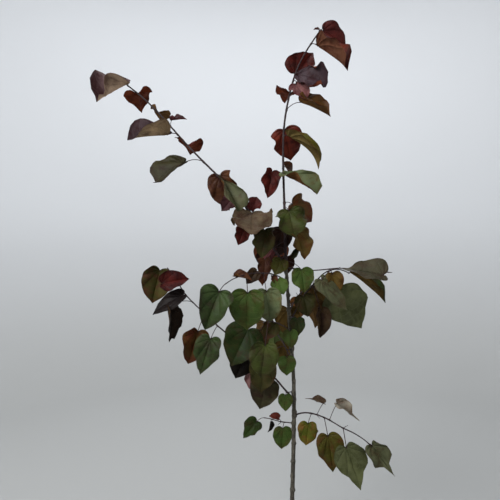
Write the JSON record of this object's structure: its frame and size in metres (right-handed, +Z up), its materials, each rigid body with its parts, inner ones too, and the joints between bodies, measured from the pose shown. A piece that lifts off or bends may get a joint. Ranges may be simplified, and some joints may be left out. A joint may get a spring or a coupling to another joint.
{
  "type": "young redbud tree in a nursery pot",
  "caption": "Slender young redbud with a single stem, long arching side shoots and large heart-shaped wine-red and green leaves, standing in a plain dark nursery pot of compost",
  "frame": {"origin": "middle of the pot's flat underside, on the surface that it stands on", "axes": "+Z up along the stem, +Y towards the back and +X to the right as the plant is seen from the front"},
  "size_m": [0.8518, 0.451, 1.7529],
  "materials": {
    "pot": "satin black moulded plastic with fine scuffs",
    "compost": "loose moist bark compost",
    "bark": "smooth grey-brown young bark with pale pores",
    "wine_foliage": "soft matt wine-red leaf with fine veins",
    "green_foliage": "soft matt dull green leaf with fine veins"
  },
  "bodies": {
    "root": {"pot": "pot", "compost": "compost", "trunk": "bark", "left_bough": "bark", "lower_left_bough": "bark", "right_arching_bough": "bark", "lower_right_bough": "bark", "leader_lower_foliage": "wine_foliage", "leader_middle_foliage": "wine_foliage", "leader_top_foliage": "wine_foliage", "left_inner_foliage": "wine_foliage", "left_tip_foliage": "wine_foliage", "lower_left_inner_foliage": "green_foliage", "lower_left_tip_foliage": "green_foliage", "left_middle_foliage": "green_foliage", "front_foliage": "green_foliage", "right_upper_foliage": "green_foliage", "right_arching_foliage": "green_foliage", "right_spur_foliage": "green_foliage", "left_spur_foliage": "green_foliage", "low_spur_foliage": "green_foliage", "lower_right_foliage": "green_foliage", "lower_left_twig_foliage": "green_foliage", "back_upper_foliage": "green_foliage", "back_right_foliage": "green_foliage", "back_lower_foliage": "green_foliage"}
  },
  "joints": []
}
